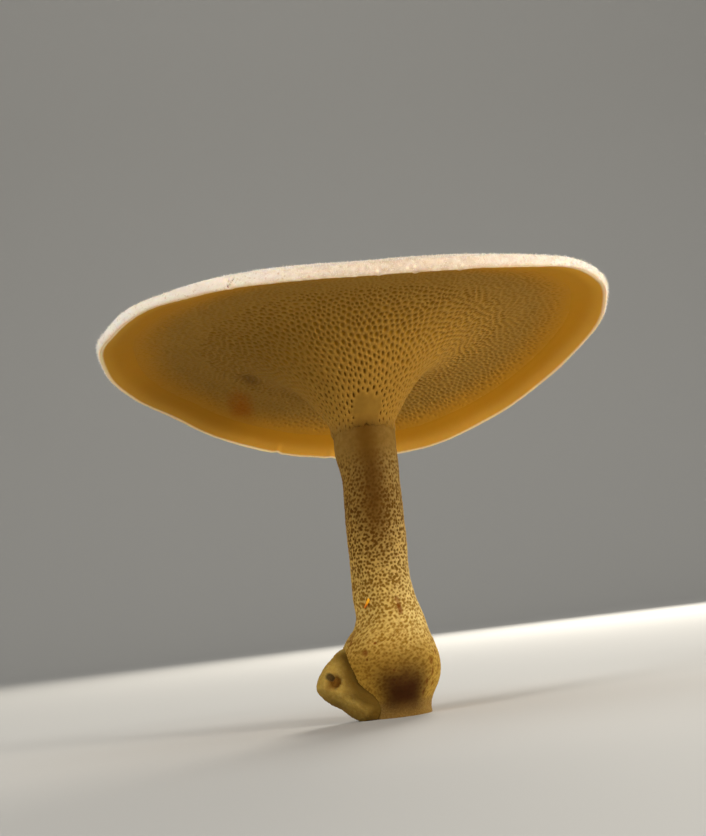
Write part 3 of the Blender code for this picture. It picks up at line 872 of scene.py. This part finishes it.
def cap_finish():
    """Cream rim, velvety tan top that darkens to its middle, and an orange-brown sterile margin below."""
    paint = Paint("cap_flesh_finish")
    share, upper = paint.mask("share"), paint.mask("upper")
    fibrils, grain = paint.mask("fibrils"), paint.mask("grain")
    mottle = paint.noise(1.6)
    fine = paint.noise(0.12)
    speck = paint.noise(0.22, detail=1.0)
    under = underside_colour(paint, share, mottle)
    # Painted light: the margin behind, and more so on the right, is painted bright orange, as if light shone through it
    # from behind.
    painted_glow = paint.mask("far") * (share + 0.01 * mottle).step(0.90, 0.985)
    under = paint.mix(painted_glow * (0.50 + 0.20 * paint.mask("side")), under, (0.78, 0.41, 0.065))
    under = paint.mix((share + 0.003 * fine).step(0.980, 0.990), under, (0.92, 0.72, 0.42))
    rim = paint.mix(upper.step(0.02, 0.34), (0.80, 0.55, 0.29), (0.86, 0.78, 0.67))
    rim = paint.mix((speck + 0.10 * grain).step(0.58, 0.74) * 0.55, rim, (0.55, 0.34, 0.18))
    rim = paint.mix((0.22 * grain + fine).step(0.50, 0.85) * 0.6, rim, (0.93, 0.88, 0.81))
    rim = paint.mix(paint.mask("front") * 0.75, rim, paint.mix(grain.step(-0.6, 0.6), (0.50, 0.34, 0.215), (0.64, 0.50, 0.365)))
    rim = paint.mix(paint.mask("nodules").step(0.2, 0.9) * 0.6, rim, (0.94, 0.80, 0.60))
    top = paint.mix((share + 0.10 * mottle + 0.03 * fibrils).step(0.25, 0.95), (0.20, 0.10, 0.035), (0.42, 0.25, 0.11))
    top = paint.mix((fibrils + fine).step(-0.3, 1.3), top, (0.50, 0.34, 0.18))
    whole = paint.mix((share + 0.05 * mottle + 0.02 * fibrils).step(0.80, 0.94), top, rim)
    colour = paint.mix(upper.step(0.0, 0.05), under, whole)
    colour = paint.mix(paint.mask("crack").step(0.35, 0.85) * 0.9, colour, (0.36, 0.20, 0.08))
    relief = 0.6 * fine + 0.4 * paint.noise(0.05)
    return paint.finish(colour, 0.78 + 0.12 * fine, paint.bump(relief, 0.03), Subsurface_Weight=0.45,
                        Subsurface_Scale=0.7 * MM, **SOFT)


def hair_finish():
    """Cream hairs, a little browner in blotches."""
    paint = Paint("rim_hair_finish")
    colour = paint.mix(paint.noise(0.8).step(0.45, 0.75) * 0.6, (0.90, 0.82, 0.71), (0.62, 0.44, 0.28))
    return paint.finish(colour, 0.75 + 0.15 * paint.noise(0.1), paint.bump(paint.noise(0.05), 0.005),
                        Subsurface_Weight=0.3, Subsurface_Scale=0.2 * MM, **SOFT)


def pore_finish():
    """Tan ridges over brown pits that are partly painted shade, darkest near the stem, the plain patch on the neck, and
    two old stains.
    """
    paint = Paint("pore_finish")
    pit, share = paint.mask("pit"), paint.mask("share")
    mottle = paint.noise(1.6)
    fine = paint.noise(0.10)
    ridge = underside_colour(paint, share, mottle)
    ridge = paint.mix(fine.step(0.35, 0.80) * 0.35, ridge, (0.44, 0.255, 0.050))
    ridge = paint.mix(paint.mask("patch"), ridge, paint.mix(paint.noise(0.9).step(0.3, 0.8), (0.225, 0.118, 0.016),
                                                            (0.190, 0.095, 0.011)))
    ridge = paint.mix(paint.mask("neck"), ridge, neck_colour(paint))
    # Pits: partly their own browner inside, partly painted shade, and much darker near the stem as painted shade of
    # deep pores.
    pit_brown_and_painted_shade = paint.mix(share.step(0.12, 0.34), (0.110, 0.045, 0.002), (0.290, 0.140, 0.008))
    colour = paint.mix(pit.step(0.10, 0.85), ridge, pit_brown_and_painted_shade)
    colour = paint.mix(paint.mask("smudge") * (0.20 + 0.7 * fine), colour, (0.13, 0.060, 0.010))
    colour = paint.mix(paint.mask("orange_spot") * 0.85, colour, (0.32, 0.098, 0.001))
    return paint.finish(colour, 0.80 + 0.1 * fine, paint.bump(fine, 0.012), Subsurface_Weight=0.15,
                        Subsurface_Scale=0.25 * MM, **SOFT)


def stem_finish():
    """Pale tan scales over brown dimples: dense and dark above, golden and softer below."""
    paint = Paint("stem_finish")
    relief, grain, height = paint.mask("relief"), paint.mask("grain"), paint.mask("height")
    lumps = paint.mask("lumps")
    fine = paint.noise(0.09)
    mottle = paint.noise(1.2)
    low = 1 - height.step(6.0, 15.0)
    foot = 1 - height.step(4.0, 8.0)
    scale = paint.mix(low, (0.46, 0.285, 0.075), (0.66, 0.45, 0.140))
    scale = paint.mix(height.step(13.0, 17.5), scale, (0.280, 0.168, 0.042))
    scale = paint.mix(foot, scale, (0.40, 0.225, 0.034))
    hollow = paint.mix(low, (0.090, 0.034, 0.002), (0.27, 0.135, 0.017))
    hollow = paint.mix(foot, hollow, (0.21, 0.098, 0.009))
    raised = (relief + 0.25 * (fine - 0.5) + 0.05 * grain).step(0.10, 0.80)
    colour = paint.mix(raised, hollow, scale)
    colour = paint.mix((mottle + 0.15 * lumps).step(0.50, 0.90) * 0.30, colour, (0.34, 0.18, 0.030))
    # Painted light: the stem is painted lighter on the right and darker on the left and front, as if lit from the
    # right.
    painted_light_tone = paint.mix(paint.mask("right"), (0.87, 0.85, 0.72), (1.10, 1.20, 1.45))
    colour = paint.node("ShaderNodeVectorMath", {"operation": "MULTIPLY"}, {0: colour, 1: painted_light_tone})
    # Painted shade: a dark brown band down the front of the upper stem.
    colour = paint.mix(paint.mask("painted_front_shade") * 0.88, colour, (0.068, 0.025, 0.001))
    faint = 1 - relief.step(0.05, 0.55) * 0.8
    colour = paint.mix(paint.mask("neck") * (1 - 0.35 * faint), colour, neck_colour(paint))
    colour = paint.mix(paint.mask("marks") * 0.85, colour, (0.15, 0.040, 0.003))
    below = 1 - (height + 0.9 * mottle + 0.25 * lumps).step(1.2, 2.2)
    colour = paint.mix(below * 0.8, colour, paint.mix(fine.step(0.4, 0.7), (0.16, 0.085, 0.018), (0.27, 0.165, 0.050)))
    colour = paint.mix(paint.mask("shade") * 0.98, colour, (0.030, 0.007, 0.0003))
    bumps = 0.5 * fine + 0.3 * paint.noise(0.04)
    return paint.finish(colour, 0.82 + 0.1 * fine, paint.bump(bumps, 0.02), Subsurface_Weight=0.10,
                        Subsurface_Scale=0.3 * MM, **SOFT)


def pad_finish():
    """Cream felt with a fine nap, darker towards the bottom, the brown pit, and its black spot, which is painted shade
    of a hole.
    """
    paint = Paint("pad_finish")
    pit, felt, lumps, tufts = (paint.mask(name) for name in ("pit", "felt", "lumps", "tufts"))
    fine = paint.noise(0.08)
    mottle = paint.noise(0.8)
    felted = paint.mix((mottle + 0.2 * lumps).step(0.35, 0.80), (0.37, 0.235, 0.044), (0.27, 0.160, 0.028))
    felted = paint.mix((fine + 0.2 * felt).step(0.40, 0.85) * 0.5, felted, (0.48, 0.33, 0.095))
    felted = paint.mix(tufts.step(0.35, 0.75) * 0.25, felted, (0.22, 0.12, 0.018))
    # Dark brown of the bulb's skin at the border, and darker towards the bottom.
    colour = paint.mix(paint.mask("skin") * 0.92, felted, (0.080, 0.038, 0.002))
    colour = paint.mix(pit * (0.70 + 0.5 * fine), colour, (0.115, 0.042, 0.002))
    # Painted shade: the black of a hole, painted into a shallow dent.
    colour = paint.mix(paint.mask("spot") * (0.75 + 0.3 * fine), colour, (0.045, 0.025, 0.006))
    relief = 0.6 * fine + 0.4 * felt
    return paint.finish(colour, 0.80 + 0.1 * fine, paint.bump(relief, 0.03), Subsurface_Weight=0.25,
                        Subsurface_Scale=0.4 * MM, **SOFT)


def fleck_finish():
    """Glowing orange above, rust below."""
    paint = Paint("fleck_finish")
    colour = paint.mix((paint.mask("along") + 0.2 * paint.noise(0.1)).step(8.95, 9.45), (0.62, 0.13, 0.01),
                       (0.95, 0.45, 0.02))
    return paint.finish(colour, 0.5 + 0.2 * paint.noise(0.05), paint.bump(paint.noise(0.06), 0.02),
                        Subsurface_Weight=0.3, Subsurface_Scale=0.1 * MM, **SOFT)


# Studio
CAMERA_AT = Vector((-0.734, -130.0, 8.0)) * MM
CAMERA_PITCH = math.radians(7.182)
CAMERA_ROLL = math.radians(7.0)
FOCAL_PIXELS = 1589.4
SENSOR_WIDTH = 36.0


def make_camera():
    """Low in front of the mushroom, looking slightly up, rolled as in the photograph."""
    data = bpy.data.cameras.new("camera")
    data.sensor_width = SENSOR_WIDTH
    data.lens = FOCAL_PIXELS / max(IMAGE_WIDTH, IMAGE_HEIGHT) * SENSOR_WIDTH
    data.clip_start, data.clip_end = 0.005, 20
    camera = bpy.data.objects.new("camera", data)
    bpy.context.scene.collection.objects.link(camera)
    turn = Matrix.Rotation(math.pi / 2 + CAMERA_PITCH, 4, "X") @ Matrix.Rotation(-CAMERA_ROLL, 4, "Z")
    camera.matrix_world = Matrix.Translation(CAMERA_AT) @ turn
    bpy.context.scene.camera = camera


def soft_light(name, at, aim, size, power, colour):
    """A square softbox in metres, pointed at the aim."""
    data = bpy.data.lights.new(name, "AREA")
    data.size, data.energy, data.color = size, power, colour
    lamp = bpy.data.objects.new(name, data)
    bpy.context.scene.collection.objects.link(lamp)
    lamp.location = at
    lamp.rotation_euler = (Vector(aim) - Vector(at)).to_track_quat("-Z", "Y").to_euler()


def make_studio():
    """A pale sweep: floor, a wide quarter turn, and a wall. Softboxes above, behind and to the right."""
    bend, depth, wide, high = 0.35, 0.55, 2.4, 1.6
    turn = np.linspace(0, math.pi / 2, 25)
    back = np.concatenate([[-1.2], depth + bend * np.sin(turn), [depth + bend]])
    rise = np.concatenate([[0.0], bend - bend * np.cos(turn), [high]])
    across = np.linspace(-wide, wide, 3)
    points = np.stack([across[None] + 0 * back[:, None], back[:, None] + 0 * across, rise[:, None] + 0 * across], -1)
    row, column = np.meshgrid(np.arange(len(back) - 1), np.arange(2), indexing="ij")
    first = (row * 3 + column).ravel()
    mesh = bpy.data.meshes.new("floor")
    mesh.from_pydata(points.reshape(-1, 3).tolist(), [], np.column_stack([first, first + 1, first + 4, first + 3]).tolist())
    mesh.shade_smooth()
    paint = Paint("floor_paint")
    mesh.materials.append(paint.finish((0.50, 0.49, 0.465, 1.0), 0.9))
    floor = bpy.data.objects.new("floor", mesh)
    bpy.context.scene.collection.objects.link(floor)
    middle = (0.0, 0.0, 0.022)
    soft_light("top_light", (0.0, 0.15, 1.1), (0.0, 0.15, 0.0), 1.0, 3.7, (1.0, 0.98, 0.94))
    soft_light("back_light", (0.10, 0.34, 0.16), middle, 0.14, 1.0, (1.0, 0.95, 0.86))
    soft_light("right_light", (0.30, -0.20, 0.05), (0.004, 0.0, 0.02), 0.12, 1.30, (1.0, 0.95, 0.85))
    soft_light("key_light", (0.22, -0.34, 0.42), (0.0, 0.0, 0.012), 0.20, 0.34, (1.0, 0.97, 0.90))
    soft_light("left_light", (-0.38, -0.32, 0.18), (-0.01, 0.0, 0.025), 0.20, 1.75, (1.0, 0.98, 0.95))
    world = bpy.data.worlds.new("studio")
    world.use_nodes = True
    world.node_tree.nodes["Background"].inputs["Color"].default_value = (0.95, 0.98, 1.0, 1.0)
    world.node_tree.nodes["Background"].inputs["Strength"].default_value = 0.15
    scene = bpy.context.scene
    scene.world = world
    scene.view_settings.view_transform = "Standard"


make_camera()
make_studio()
make_flesh(cap_finish())
make_rim_hairs(hair_finish())
make_pores(pore_finish())
make_stem(stem_finish())
make_pad(pad_finish())
make_fleck(fleck_finish())
